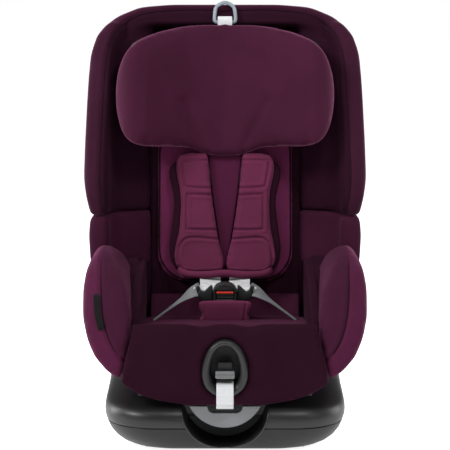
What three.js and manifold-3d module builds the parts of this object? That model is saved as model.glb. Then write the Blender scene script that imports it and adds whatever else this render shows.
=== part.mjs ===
// A convertible child car seat on a reclining base with ISOFIX arms, in millimetres.
// X runs to the right as seen from in front, the front faces -Y and Z is up.
import * as THREE from "three";
import { mergeVertices } from "three/addons/utils/BufferGeometryUtils.js";
import Module from "manifold-3d";

const wasm = await Module();
wasm.setup();

// Driving dimensions of the whole seat
const HEIGHT = 656;
const FRAME_SHIFT = -28; // brings the middle of the 550 mm depth to Y = 0
const GAP = 0.4; // between pieces that touch
const SIDES = [["left", -1], ["right", 1]];

// The seat rocks on an arc about this line, which runs along X
const ROCK_Y = -40;
const ROCK_Z = 420;
const DECK_RADIUS = 329;
const PAN_RADIUS = 306;
const WALL_TOP_RADIUS = 316;

// Base
const BASE_HALF = 180;
const BASE_FRONT = -236;
const BASE_REAR = 250;
const BASE_FLOOR = 2.4;
const BASE_TOP = 152;
const PARTING_Z = 39;
const WALL = 4;
const FRONT_CORNER = 75;
const REAR_CORNER = 40;
const TROUGH_HALF = 132;
const RECESS_RADIUS = 63;
const RECESS_Z = 70;
const RECESS_REAR = -150;
const RAIL_X = 90;

// ISOFIX arms: the two anchor bars of a car are 280 mm apart
const ISOFIX_X = 140;
const ARM_Z = 62;
const ARM_HALF = 11;
const HOUSING_FRONT = 252;
const HOUSING_REAR = 303;
const MOUTH_HALF = 6;
const BORE_HALF = ARM_HALF + 2;
const SLEEVE_HALF = BORE_HALF + 3;
const TUBE_FRONT = -60;

// Backrest: it leans back by this much per millimetre of height
const LEAN = 0.2586;
const BIGHT_Z = 150;
const BACK_FACE = 55; // front of the back pad, as Y at the height of BIGHT_Z
const BACK_TOP = 445;
const INSERT_FACE = BACK_FACE - 12;
const SHELL_FACE = 96; // front of the plastic back shell, the same way
const BACK_HALF = 122;
const WING_ROOT = BACK_HALF + 2;

// Headrest
const HEADREST_LOW = 414;
const HEADREST_TOP = 625;
const HEADREST_HALF = 174;

// Seat cushion, apron and thigh bolsters
const CUSHION_HALF = 133;
const BOLSTER_PEAK = 284;

const WEBBING_HALF = 12.5;

const AXIS_X = new THREE.Vector3(1, 0, 0);
const AXIS_Y = new THREE.Vector3(0, 1, 0);
const AXIS_Z = new THREE.Vector3(0, 0, 1);

// ---- shapes ----

function polygon(points) {
  return new THREE.Shape(points.map(([u, v]) => new THREE.Vector2(u, v)));
}

// A closed, rounded outline through the points.
function smooth(points) {
  const [first, ...rest] = points.map(([u, v]) => new THREE.Vector2(u, v));
  const shape = new THREE.Shape();
  shape.moveTo(first.x, first.y);
  shape.splineThru(rest);
  return shape;
}

function rectangle(u0, v0, u1, v1) {
  return polygon([[u0, v0], [u1, v0], [u1, v1], [u0, v1]]);
}

function roundedRectangle(u0, v0, u1, v1, low, high = low) {
  const shape = new THREE.Shape();
  shape.absarc(u0 + low, v0 + low, low, Math.PI, Math.PI * 1.5);
  shape.absarc(u1 - low, v0 + low, low, Math.PI * 1.5, Math.PI * 2);
  shape.absarc(u1 - high, v1 - high, high, 0, Math.PI / 2);
  shape.absarc(u0 + high, v1 - high, high, Math.PI / 2, Math.PI);
  return shape;
}

// An outline from its right half and the mirror image of it.
function bothSides(points) {
  return [...points, ...points.map(([u, v]) => [-u, v]).reverse()];
}

// ---- solids ----

const SHEAR = new THREE.Matrix4().makeShear(0, 0, 0, 0, 0, LEAN);

function toSolid(geometry, lean = false) {
  const bare = geometry.clone();
  bare.deleteAttribute("normal");
  bare.deleteAttribute("uv");
  if (lean) bare.applyMatrix4(SHEAR).translate(0, -LEAN * BIGHT_Z, 0);
  const merged = mergeVertices(bare, 1e-4);
  const mesh = new wasm.Mesh({
    numProp: 3,
    vertProperties: merged.attributes.position.array,
    triVerts: new Uint32Array(merged.index.array),
  });
  return new wasm.Manifold(mesh);
}

function extruded(shape, depth, steps) {
  return new THREE.ExtrudeGeometry(shape, { depth, bevelEnabled: false, curveSegments: steps });
}

// The outline holds (y, z) and runs along X from x0 to x1.
function alongX(shape, x0, x1, { steps = 3, lean = false } = {}) {
  const basis = new THREE.Matrix4().makeBasis(AXIS_Y, AXIS_Z, AXIS_X);
  const low = Math.min(x0, x1);
  const geometry = extruded(shape, Math.abs(x1 - x0), steps).applyMatrix4(basis);
  return toSolid(geometry.translate(low, 0, 0), lean);
}

// The outline holds (x, z) and runs along Y from y0 to y1.
function alongY(shape, y0, y1, { steps = 3, lean = false } = {}) {
  return toSolid(extruded(shape, y1 - y0, steps).rotateX(Math.PI / 2).translate(0, y1, 0), lean);
}

// The outline holds (x, y) and runs along Z from z0 to z1.
function alongZ(shape, z0, z1, { steps = 3, lean = false } = {}) {
  return toSolid(extruded(shape, z1 - z0, steps).translate(0, 0, z0), lean);
}

function box(x0, x1, y0, y1, z0, z1) {
  const geometry = new THREE.BoxGeometry(Math.abs(x1 - x0), y1 - y0, z1 - z0);
  return toSolid(geometry.translate((x0 + x1) / 2, (y0 + y1) / 2, (z0 + z1) / 2));
}

const join = (first, ...rest) => rest.reduce((body, part) => body.add(part), first);
const cut = (first, ...rest) => rest.reduce((body, part) => body.subtract(part), first);
const common = (first, ...rest) => rest.reduce((body, part) => body.intersect(part), first);

// A full disc about the rocking line.
function rockerDisc(radius, x0, x1) {
  const disc = new THREE.CylinderGeometry(radius, radius, x1 - x0, 90).rotateZ(Math.PI / 2);
  return toSolid(disc.translate((x0 + x1) / 2, ROCK_Y, ROCK_Z));
}

// A curved strip about the rocking line; angles are in degrees from straight down, towards the rear.
function rockerBand(inner, outer, x0, x1, front, rear) {
  const angle = (degrees) => ((degrees - 90) * Math.PI) / 180;
  const shape = new THREE.Shape();
  shape.absarc(ROCK_Y, ROCK_Z, outer, angle(front), angle(rear), false);
  shape.absarc(ROCK_Y, ROCK_Z, inner, angle(rear), angle(front), true);
  return alongX(shape, x0, x1, { steps: 6 });
}

// ---- nodes ----

const seat = new THREE.Group();
seat.position.y = FRAME_SHIFT;

const COLOURS = {
  plum: ["#4a1f3a", 0.9, 0],
  plumLight: ["#6b2c50", 0.9, 0],
  plumDark: ["#2c101f", 0.92, 0],
  black: ["#2c2c2d", 0.5, 0],
  deepBlack: ["#121213", 0.6, 0],
  grey: ["#76787a", 0.45, 0],
  webbing: ["#b9bcbf", 0.8, 0],
  red: ["#b5372c", 0.4, 0],
  steel: ["#9ea1a5", 0.35, 0.9],
  rubber: ["#1b1b1c", 0.9, 0],
};

function node(name, body, colour) {
  const made = body.getMesh();
  const geometry = new THREE.BufferGeometry();
  geometry.setAttribute("position", new THREE.BufferAttribute(made.vertProperties, made.numProp));
  geometry.setIndex(new THREE.BufferAttribute(made.triVerts, 1));
  const [color, roughness, metalness] = COLOURS[colour];
  const mesh = new THREE.Mesh(geometry, new THREE.MeshStandardMaterial({ color, roughness, metalness }));
  mesh.name = name;
  seat.add(mesh);
}

// ---- base ----

function basePrism(inset) {
  const half = BASE_HALF - inset;
  const plan = roundedRectangle(
    -half, BASE_FRONT + inset, half, BASE_REAR - inset, FRONT_CORNER - inset, REAR_CORNER - inset,
  );
  const low = BASE_FLOOR + inset;
  const front = polygon(bothSides([
    [132 - inset, low], [150 - inset, low + 4], [164 - inset, 15 + inset / 2], [172 - inset, 28],
    [177 - inset, 43], [half, 58], [178 - inset, 80], [174 - inset, 110], [168 - inset, BASE_TOP - inset],
  ]));
  const side = polygon([
    [-205 + inset, low], [-220 + inset, 10 + inset], [-231 + inset, 26], [BASE_FRONT + inset, 42],
    [-235 + inset, 56], [-229 + inset, 65 - inset / 2], [-214 + inset, 70 - inset],
    [-190, 76 - inset], [-158, 86 - inset], [-120, 106 - inset], [-60, BASE_TOP - inset],
    [190, BASE_TOP - inset], [232 - inset, 138 - inset], [BASE_REAR - inset, 105],
    [BASE_REAR - inset, 26], [236 - inset, low],
  ]);
  return common(
    alongZ(plan, low, BASE_TOP, { steps: 6 }),
    alongY(front, BASE_FRONT, BASE_REAR),
    alongX(side, -BASE_HALF, BASE_HALF),
  );
}

// The front recess: a half disc below its centre and open above.
function recessForm(grow, front, rear) {
  const shape = new THREE.Shape();
  const radius = RECESS_RADIUS + grow;
  shape.absarc(0, RECESS_Z, radius, Math.PI, Math.PI * 2, false);
  shape.lineTo(radius, BASE_TOP);
  shape.lineTo(-radius, BASE_TOP);
  return alongY(shape, front, rear, { steps: 12 });
}

function makeBase() {
  const hollow = cut(
    basePrism(WALL),
    rockerDisc(WALL_TOP_RADIUS + WALL, -BASE_HALF, BASE_HALF),
    rockerDisc(DECK_RADIUS + WALL, -TROUGH_HALF - WALL, TROUGH_HALF + WALL),
  );
  const form = cut(
    basePrism(0),
    rockerDisc(WALL_TOP_RADIUS, -BASE_HALF, BASE_HALF),
    rockerDisc(DECK_RADIUS + WALL + GAP, -TROUGH_HALF, TROUGH_HALF),
    recessForm(0, BASE_FRONT - 10, RECESS_REAR),
  );
  const shell = cut(form, hollow);
  const holes = SIDES.map(([, side]) => {
    const x = side * ISOFIX_X;
    const half = SLEEVE_HALF + GAP;
    return box(x - half, x + half, 200, BASE_REAR + 10, ARM_Z - half, ARM_Z + half);
  });
  const lower = common(shell, box(-200, 200, -300, 300, 0, PARTING_Z));
  node("base_lower_shell", lower, "black");
  const upper = common(shell, box(-200, 200, -300, 300, PARTING_Z + GAP, BASE_TOP + 10));
  node("base_upper_shell", cut(upper, ...holes), "black");
  const deckHalf = TROUGH_HALF - GAP;
  const deck = rockerBand(DECK_RADIUS + GAP, DECK_RADIUS + WALL, -deckHalf, deckHalf, -25, 45);
  node("cradle_deck", common(deck, basePrism(WALL + GAP)), "black");

  const liner = cut(
    recessForm(-GAP, -228, RECESS_REAR - GAP),
    recessForm(-3, -240, RECESS_REAR - 3),
    box(-70, 70, -240, -140, RECESS_Z - 2, BASE_TOP + 1),
  );
  node("recess_liner", liner, "deepBlack");

  for (const [name, side] of SIDES) {
    const web = rockerBand(318, DECK_RADIUS - GAP, side * RAIL_X - 3, side * RAIL_X + 3, -13, 30);
    const head = rockerBand(314, 318.2, side * RAIL_X - 8, side * RAIL_X + 8, -13, 30);
    node(`recline_rail_${name}`, join(web, head), "steel");
  }
  const teeth = [-8, -3, 2, 7, 12].map((angle) => rockerBand(320, 324, -14, 14, angle, angle + 2.4));
  node("recline_rack", cut(rockerBand(321.5, DECK_RADIUS - GAP, -12, 12, -12, 18), ...teeth), "steel");

  for (const [name, side] of SIDES) {
    const x = side * ISOFIX_X;
    const half = BORE_HALF;
    const tubeHalf = SLEEVE_HALF;
    const tube = box(x - tubeHalf, x + tubeHalf, 60, 246, ARM_Z - tubeHalf, ARM_Z + tubeHalf);
    const bore = box(x - half, x + half, 50, 256, ARM_Z - half, ARM_Z + half);
    const feet = [70, 215].map((y) =>
      box(x - side * 12, x - side * 2, y, y + 18, 9, ARM_Z - half - 1));
    node(`isofix_sleeve_${name}`, cut(join(tube, ...feet), bore), "deepBlack");
  }
  const strip = cut(box(-118, 118, -186, 226, 0, BASE_FLOOR - GAP), box(-100, 100, -168, 208, -1, 5));
  node("foot_strip", strip, "rubber");
}

// ---- ISOFIX carriage ----

function makeIsofix() {
  const barHalf = ISOFIX_X - ARM_HALF - GAP;
  node("isofix_crossbar", box(-barHalf, barHalf, TUBE_FRONT, TUBE_FRONT + 18, ARM_Z - 9, ARM_Z + 9), "steel");
  for (const [name, side] of SIDES) {
    const x = side * ISOFIX_X;
    node(
      `isofix_arm_${name}`,
      box(x - ARM_HALF, x + ARM_HALF, TUBE_FRONT, HOUSING_FRONT - GAP, ARM_Z - ARM_HALF, ARM_Z + ARM_HALF),
      "steel",
    );
    const outline = polygon([
      [HOUSING_FRONT, 42], [HOUSING_REAR - 6, 42], [HOUSING_REAR, 48], [HOUSING_REAR, ARM_Z - MOUTH_HALF],
      [280, ARM_Z - MOUTH_HALF], [280, ARM_Z + MOUTH_HALF], [HOUSING_REAR, ARM_Z + MOUTH_HALF],
      [HOUSING_REAR, 76], [HOUSING_REAR - 8, 82], [HOUSING_FRONT, 82],
    ]);
    const slot = box(x - 6, x + 6, 258, HOUSING_REAR + 5, ARM_Z - 14, 90);
    const pocket = box(x + side * 14, x + side * 20, 257, 278, 54, 70);
    node(`isofix_housing_${name}`, cut(alongX(outline, x - 18, x + 18), slot, pocket), "deepBlack");
    const hook = polygon([[261, 68.5], [291, 68.5], [291, 57], [297, 57], [297, 79], [261, 79]]);
    node(`isofix_jaw_${name}`, alongX(hook, x - 5, x + 5), "steel");
    node(`isofix_button_${name}`, box(x + side * 14.4, x + side * 19.5, 262, 277, 55.5, 68.5), "red");
  }
}

// ---- seat shell ----

// The egg-shaped opening of the harness adjuster, narrower at the top.
function eggOutline(half, low, high) {
  const middle = low + (high - low) * 0.4;
  return smooth([
    [0, low], [half * 0.72, low + (middle - low) * 0.3], [half, middle],
    [half * 0.8, middle + (high - middle) * 0.62], [0, high], [-half * 0.8, middle + (high - middle) * 0.62],
    [-half, middle], [-half * 0.72, low + (middle - low) * 0.3], [0, low],
  ]);
}

function makeSeatShell() {
  const front = polygon([[-214, 84], [-210, 84], [-210, 154], [-195, 156], [-195, 163], [-214, 172]]);
  const pan = join(
    rockerBand(PAN_RADIUS - 4, PAN_RADIUS, -130, 130, -31.5, 26),
    alongX(front, -128, 128),
  );
  const window = alongY(eggOutline(31, 90, 169), -230, -175, { steps: 3 });
  node("seat_pan", cut(pan, window), "deepBlack");

  // The plate behind the back, with a rim of ribs.
  const outline = polygon(bothSides([
    [120, 142], [150, 176], [176, 230], [196, 330], [206, 400], [206, 520], [200, 590], [176, 622], [130, 640],
    [60, 643],
  ]));
  const plate = common(
    alongY(outline, 0, 300),
    alongX(rectangle(SHELL_FACE, 100, SHELL_FACE + 4, 660), -210, 210, { lean: true }),
  );
  const uprights = [-150, -80, 72, 142].map((x) =>
    alongX(rectangle(SHELL_FACE + 3, 240, SHELL_FACE + 13, 590), x, x + 8, { lean: true }));
  const crossings = [260, 400, 540].map((z) =>
    alongX(rectangle(SHELL_FACE + 3, z, SHELL_FACE + 11, z + 6), -150, 150, { lean: true }));
  node("back_shell", join(plate, ...uprights, ...crossings), "black");
  const bracket = rectangle(SHELL_FACE + 4 + GAP, 470, SHELL_FACE + 12, 500);
  node("tether_bracket", alongX(bracket, -30, 30, { lean: true }), "steel");

  for (const [name, side] of SIDES) {
    const flank = polygon([
      [-150, 158], [-120, 132], [-70, 112], [-20, 110], [30, 118], [70, 134], [88, 150], [104, 190], [108, 233],
      [20, 234], [-60, 232], [-130, 205],
    ]);
    node(`side_shell_${name}`, alongX(flank, side * 134, side * 138), "black");
    const shoe = cut(
      rockerBand(PAN_RADIUS + GAP, 324, side * RAIL_X - 14, side * RAIL_X + 14, 5, 25),
      rockerBand(312.5, 319.7, side * RAIL_X - 9.5, side * RAIL_X + 9.5, 4, 26),
      rockerBand(316, 326, side * RAIL_X - 4.5, side * RAIL_X + 4.5, 4, 26),
    );
    node(`slider_shoe_${name}`, shoe, "grey");
  }
}

// ---- recline handle and catch ----

function makeRecline() {
  const grip = new THREE.Shape();
  grip.absarc(0, 96.5, 58.5, Math.PI + 0.476, Math.PI * 2 - 0.476, false);
  grip.lineTo(26, 69.5);
  grip.absarc(16, 69.5, 10, 0, -Math.PI / 2, true);
  grip.absarc(-16, 69.5, 10, -Math.PI / 2, -Math.PI, true);
  grip.lineTo(-26, 69.5);
  const link = polygon([
    [-170, 62], [-163, 62], [-163, 106], [-155, 121], [-148, 126], [-150, 131], [-160, 127], [-170, 110],
  ]);
  const handle = join(
    alongY(grip, -222, -212, { steps: 6 }),
    box(28, 50, -214, -162, 61, 69),
    box(-50, -28, -214, -162, 61, 69),
    box(-50, 50, -172, -162, 61, 69),
    alongX(link, -9, 9),
    rockerBand(309, 313, -9, 9, -21.5, -9),
  );
  node("recline_handle", handle, "grey");
  const catchBody = join(rockerBand(309, 315, -9, 9, -8, -1), rockerBand(314, 320.6, -9, 9, -7.6, -6));
  node("recline_catch", catchBody, "steel");
}

// ---- covers and padding ----

function makeCovers() {
  const backOutline = polygon(bothSides([
    [214, 322], [220, 350], [225, 378], [224, 440], [222, 502], [219, 573], [210, 604], [198, 620], [180, 636],
    [141, 652], [90, HEIGHT],
  ]));
  // The wing cover is an arch: it tapers inwards from its front rim to the back pad.
  const frontCurve = polygon([
    [18, 318], [16, 350], [22, 378], [45, 440], [70, 502], [104, 573], [128, 615], [146, 640], [152, 660],
    [240, 660], [240, 318],
  ]);
  const wedge = (side) => polygon([
    [side * 230, -60], [side * 196, -60], [side * 190, -42], [side * 184, 10], [side * 170, 36],
    [side * WING_ROOT, BACK_FACE], [side * WING_ROOT, SHELL_FACE - GAP], [side * 230, SHELL_FACE - GAP],
  ]);
  const hood = join(
    alongZ(wedge(-1), 322, 630, { lean: true }),
    alongZ(wedge(1), 322, 630, { lean: true }),
    alongX(rectangle(40, 622, SHELL_FACE - GAP, 670), -190, 190, { lean: true }),
    alongX(rectangle(SHELL_FACE - 8, 324, SHELL_FACE - GAP, 660), -190, 190, { lean: true }),
  );
  node("wing_cover", common(hood, alongY(backOutline, -60, 260), alongX(frontCurve, -230, 230)), "plum");

  for (const [name, side] of SIDES) {
    const sideView = polygon([[22, 200], [20, 321], [240, 321], [240, 170], [60, 170]]);
    const frontView = polygon([
      [side * 124, 236], [side * 214, 236], [side * 217, 290], [side * 214, 321.4], [side * 124, 321.4],
    ]);
    const lower = common(
      alongZ(wedge(side), 170, 322 - GAP, { lean: true }),
      alongX(sideView, -230, 230),
      alongY(frontView, -60, 260),
    );
    node(`side_cover_${name}`, lower, "plumDark");
  }
  const padSide = polygon([
    [BACK_FACE, 170], [BACK_FACE, BACK_TOP], [BACK_FACE + 25, BACK_TOP], [BACK_FACE + 25, 160],
    [BACK_FACE + 5, 160],
  ]);
  node("back_pad", alongX(padSide, -BACK_HALF, BACK_HALF, { lean: true }), "plumDark");
  const insertShape = roundedRectangle(-111, 209, 111, BACK_TOP - 4, 50, 8);
  const insertSlab = alongX(rectangle(INSERT_FACE, 180, BACK_FACE - GAP, 600), -112, 112, { lean: true });
  node("back_insert", common(alongY(insertShape, -20, 200, { steps: 5 }), insertSlab), "plum");

  const cushion = polygon([
    [-204, 182], [-190, 183], [-120, 173], [-20, 162], [46, 156], [60, 150], [52, 146], [20, 126], [-40, 119],
    [-100, 126], [-150, 143], [-196, 166], [-204, 171],
  ]);
  node("seat_cushion", alongX(cushion, -CUSHION_HALF + 1, CUSHION_HALF - 1), "plumDark");

  const apronSide = polygon([
    [-206, 190], [-216, 187], [-226, 176], [-233, 149], [-235, 120], [-232, 92], [-225, 72],
    [-216, 72], [-216, 178], [-206, 184],
  ]);
  const apronFront = polygon(bothSides([
    [60, 73], [98, 80], [128, 91], [150.4, 106], [150.4, 110], [145.4, 135], [138, 165], [135, 192], [60, 192],
  ]));
  const apron = common(alongX(apronSide, -160, 160), alongY(apronFront, -240, -200));
  const window = alongY(eggOutline(35, 84, 172), -250, -200, { steps: 3 });
  node("front_apron", cut(apron, window), "plumDark");

  for (const [name, side] of SIDES) {
    const front = polygon([
      [152, 106], [172, 121], [190, 142], [203, 168], [212, 200], [215, 237], [211, 262], [202, 277],
      [190, BOLSTER_PEAK], [177, 280], [160, 262], [147, 234], [140, 200], [140, 166], [147, 135],
    ].map(([x, z]) => [side * x, z]));
    const profile = polygon([
      [-212, 112], [-219, 92], [-226, 100], [-229, 130], [-226, 160], [-216, 190], [-190, 222], [-150, 255],
      [-100, 277], [-60, BOLSTER_PEAK], [-20, 282], [19, 268], [19, 236], [5, 180], [-40, 150],
      [-100, 130], [-150, 122], [-185, 112],
    ]);
    const solid = common(alongY(front, -240, 40), alongX(profile, -230, 230));
    node(`thigh_bolster_${name}`, solid, "plum");
  }
  const tag = polygon([
    [-221.6, 178], [-216.6, 191.6], [-194, 219.6], [-195.4, 221], [-218.2, 193], [-223.4, 178.6],
  ]);
  node("side_tag", alongX(tag, -204, -192), "deepBlack");
}

// ---- harness ----

// A pad or strap that lies in front of the back insert; depth runs forward from it.
function onBack(shape, near, far, steps = 3) {
  const slab = alongX(rectangle(INSERT_FACE - far, 100, INSERT_FACE - near, 700), -230, 230, { lean: true });
  return common(alongY(shape, -120, 260, { steps }), slab);
}

function makeHarness() {
  for (const [name, side] of SIDES) {
    const onSide = (points) => polygon(points.map(([x, z]) => [side * x, z]));
    const strap = onSide([[12, 232], [42, 232], [60, 470], [30, 470]]);
    node(`shoulder_strap_${name}`, onBack(strap, 1, 3), "webbing");
    const pad = smooth([
      [6, 240], [40, 222], [72, 226], [90, 256], [84, 310], [82, 345], [91, 385], [80, 402], [40, 410],
      [27, 407], [22, 340], [6, 240],
    ].map(([x, z]) => [side * x, z]));
    node(`chest_pad_${name}`, onBack(pad, 4, 24, 2), "plumLight");
    const lap = onSide([[40, 213], [126, 169], [130, 181], [44, 226]]);
    node(`lap_strap_${name}`, alongY(lap, -34, -32), "webbing");
    const tongue = onSide([[20, 203], [38, 203], [43, 210], [42, 221], [36, 226], [24, 229], [20, 219]]);
    node(`buckle_tongue_${name}`, alongY(tongue, -42, -36), "deepBlack");
  }
  const housing = cut(
    alongY(polygon(bothSides([[19.5, 192], [19.5, 215], [12, 222], [6, 225]])), -50, -30),
    box(-13.5, 13.5, -55, -39, 196, 212),
  );
  node("buckle_housing", housing, "black");
  node("buckle_button", box(-13, 13, -51, -46, 196.5, 211.5), "red");
  node("crotch_strap", alongY(rectangle(-12, 168, 12, 191.5), -42, -39), "webbing");
  const pad = polygon(bothSides([[35, 171], [41, 192], [34, 199]]));
  node("crotch_pad", alongY(pad, -66, -54), "plumLight");

  const ring = cut(
    alongY(eggOutline(34, 85, 171), -242, -214.4, { steps: 3 }),
    alongY(eggOutline(23, 97, 164), -250, -200, { steps: 3 }),
  );
  node("adjuster_bezel", ring, "black");
  const cup = cut(
    alongY(eggOutline(30, 92, 166), -213, -198, { steps: 3 }),
    alongY(eggOutline(26, 96, 162), -220, -201, { steps: 3 }),
  );
  node("adjuster_housing", cup, "deepBlack");
  const lever = join(
    box(-13, 13, -238, -233, 114, 125),
    box(-10, 10, -234, -203, 120, 124),
    box(-10, 10, -208, -203, 120, 136),
  );
  node("adjuster_lever", lever, "grey");
  const webbing = polygon([
    [-246.4, 71], [-244.6, 71], [-244.6, 101], [-240, 105], [-201.6, 105], [-201.6, 107],
    [-241, 107], [-246.4, 102],
  ]);
  node("adjuster_strap", alongX(webbing, -WEBBING_HALF, WEBBING_HALF), "webbing");
}

// ---- headrest ----

function makeHeadrest() {
  const cushionFront = smooth([
    [0, HEADREST_LOW], [27, HEADREST_LOW], [60, 428], [128, 434], [160, 452], [HEADREST_HALF, 505], [166, 560],
    [140, 596], [80, 618], [0, HEADREST_TOP], [-80, 618], [-140, 596], [-166, 560], [-HEADREST_HALF, 505],
    [-160, 452], [-128, 434],
    [-60, 428], [-27, HEADREST_LOW], [0, HEADREST_LOW],
  ]);
  // Seen from above, the cushion is a shallow V whose lobes come forward.
  const plan = polygon([
    [-176, 2], [-172, -34], [-158, -58], [-140, -62], [-122, -48], [-60, 0], [0, 14], [60, 0], [122, -48],
    [140, -62],
    [158, -58], [172, -34], [176, 2], [90, 30], [-90, 30],
  ]);
  const cushion = common(
    alongY(cushionFront, -200, 300, { steps: 2 }),
    alongZ(plan, 400, 640, { lean: true }),
  );
  node("headrest_cushion", cushion, "plum");
  const shellPlan = polygon([
    [-168, 8], [-90, 30 + GAP], [90, 30 + GAP], [168, 8], [168, 14], [92, 36], [-92, 36], [-168, 14],
  ]);
  const shell = common(
    alongY(roundedRectangle(-165, 440, 165, 606, 40), -200, 300, { steps: 4 }),
    alongZ(shellPlan, 400, 640, { lean: true }),
  );
  node("headrest_shell", shell, "deepBlack");
}

// The carrier slides behind the back pad; the ring lifts the latch through its strap.
function makeCarrier() {
  const carrier = join(
    alongX(rectangle(81.5, 300, 85.5, 476), -50, 50, { lean: true }),
    alongX(rectangle(36.4, 456, 82, 472), -26, 26, { lean: true }),
  );
  node("headrest_carrier", carrier, "deepBlack");
  const latch = polygon([[36.8, 478], [36.8, 489.6], [39.4, 489.6], [39.4, 484], [80, 484], [80, 478]]);
  node("headrest_latch", alongX(latch, -12, 12, { lean: true }), "steel");
  const loop = polygon([
    [28, 627], [28, 637], [38.6, 637], [38.6, 490], [37.2, 490], [37.2, 635.4], [29.6, 635.4], [29.6, 627],
  ]);
  node("ring_strap", alongX(loop, -12, 12, { lean: true }), "webbing");
  const ring = (half, low, high) => smooth([
    [-half, low + 5], [-half * 0.7, low], [half * 0.7, low], [half, low + 5],
    [half * 0.98, low + (high - low) * 0.55], [half * 0.55, high - 2], [0, high], [-half * 0.55, high - 2],
    [-half * 0.98, low + (high - low) * 0.55], [-half, low + 5],
  ]);
  const body = cut(
    alongY(ring(19.5, 626.5, 664), 0, 300, { steps: 2 }),
    alongY(ring(13.4, 630, 656.5), 0, 300, { steps: 2 }),
  );
  node("release_ring", common(body, alongX(rectangle(31, 600, 36, 680), -25, 25, { lean: true })), "grey");
}

makeBase();
makeIsofix();
makeSeatShell();
makeRecline();
makeCovers();
makeHarness();
makeHeadrest();
makeCarrier();

export default seat;
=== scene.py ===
"""The looks of a reclining child car seat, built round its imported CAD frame."""
import math

import bmesh
import bpy
import numpy as np
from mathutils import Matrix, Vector
from mathutils.bvhtree import BVHTree


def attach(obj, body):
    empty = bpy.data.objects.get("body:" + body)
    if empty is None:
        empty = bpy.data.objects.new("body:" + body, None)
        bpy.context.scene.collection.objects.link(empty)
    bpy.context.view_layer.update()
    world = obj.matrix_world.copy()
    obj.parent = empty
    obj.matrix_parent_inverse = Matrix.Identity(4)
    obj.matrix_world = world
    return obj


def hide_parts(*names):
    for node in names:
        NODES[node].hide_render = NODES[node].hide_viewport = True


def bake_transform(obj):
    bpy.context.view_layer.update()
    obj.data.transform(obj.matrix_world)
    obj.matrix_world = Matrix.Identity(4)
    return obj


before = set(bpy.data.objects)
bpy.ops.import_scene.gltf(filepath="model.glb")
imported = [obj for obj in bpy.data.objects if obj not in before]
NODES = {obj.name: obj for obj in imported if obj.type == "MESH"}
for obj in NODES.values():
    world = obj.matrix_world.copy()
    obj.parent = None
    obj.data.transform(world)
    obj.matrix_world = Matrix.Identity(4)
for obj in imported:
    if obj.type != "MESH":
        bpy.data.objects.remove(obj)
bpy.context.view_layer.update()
MM = 0.001
SHIFT_Y = -28  # the CAD frame lies this far forward of the design's own Y, in mm
LEAN = 0.2586  # rearward run of the backrest per height
BIGHT_Z = 150
ROCK_Y, ROCK_Z = -40, 420  # the line that the seat rocks about
SIDES = (("left", -1), ("right", 1))


# ---------------------------------------------------------------- camera and light

def place_camera():
    target = Vector((0, SHIFT_Y * MM, 0.3100))
    distance, elevation = 2.6, math.radians(7)
    data = bpy.data.cameras.new("camera")
    data.lens = 131.6
    data.sensor_width = 36
    camera = bpy.data.objects.new("camera", data)
    camera.location = target + distance * Vector((0, -math.cos(elevation), math.sin(elevation)))
    camera.rotation_euler = (target - camera.location).to_track_quat("-Z", "Y").to_euler()
    bpy.context.scene.collection.objects.link(camera)
    bpy.context.scene.camera = camera


def area_light(name, location, target, size, power):
    data = bpy.data.lights.new(name, "AREA")
    data.shape = "RECTANGLE"
    data.size, data.size_y = size
    data.energy = power
    light = bpy.data.objects.new(name, data)
    light.location = location
    light.rotation_euler = (Vector(target) - Vector(location)).to_track_quat("-Z", "Y").to_euler()
    bpy.context.scene.collection.objects.link(light)


def paper(name, light):
    """White studio paper with a faint tooth, which glows a little so that it stays white."""
    n = Nodes(name)
    tone = n.noise(3, 2)
    n.link(n.ramp(tone, [(0.3, (0.92, 0.92, 0.92)), (0.7, (0.95, 0.95, 0.95))]),
           n.shader.inputs["Base Color"])
    n.shader.inputs["Roughness"].default_value = 0.9
    n.shader.inputs["Specular IOR Level"].default_value = 0.1
    n.shader.inputs["Emission Color"].default_value = (1, 1, 1, 1)
    n.shader.inputs["Emission Strength"].default_value = light
    return n.material


def build_studio():
    area_light("key", (-2.0, -1.2, 2.1), (0, 0, 0.42), (0.8, 0.8), 70)
    area_light("fill", (1.7, -1.9, 1.7), (0, 0, 0.45), (0.9, 0.9), 11)
    area_light("top", (-0.5, -0.3, 2.3), (0, 0, 0.3), (0.6, 0.6), 18)
    area_light("near", (0.3, -0.7, 1.2), (-0.14, 0.05, 0.58), (0.25, 0.25), 7)
    area_light("rim_left", (-1.85, 0.45, 0.68), (0, 0, 0.2), (0.35, 1.2), 27)
    area_light("rim_right", (1.85, 0.45, 0.68), (0, 0, 0.2), (0.35, 1.2), 18)
    world = bpy.data.worlds.new("studio")
    world.use_nodes = True
    tree = world.node_tree
    background = tree.nodes["Background"]
    where = tree.nodes.new("ShaderNodeTexCoord")
    split = tree.nodes.new("ShaderNodeSeparateXYZ")
    ramp = tree.nodes.new("ShaderNodeValToRGB")
    for element, (height, level) in zip(ramp.color_ramp.elements, ((0.14, 1.0), (0.3, 0.2))):
        element.position = height
        element.color = (level, level, level, 1)
    tree.links.new(where.outputs["Generated"], split.inputs["Vector"])
    tree.links.new(split.outputs["Z"], ramp.inputs["Fac"])
    tree.links.new(ramp.outputs["Color"], background.inputs["Color"])
    bpy.context.scene.world = world
    bpy.context.scene.view_settings.view_transform = "Standard"
    floor = mesh_object("floor", [(-60, -60, 0), (60, -60, 0), (60, 60, 0), (-60, 60, 0)], [(0, 1, 2, 3)])
    floor.data.materials.append(paper("floor_paper", 0.86))


# ---------------------------------------------------------------- materials

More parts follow.
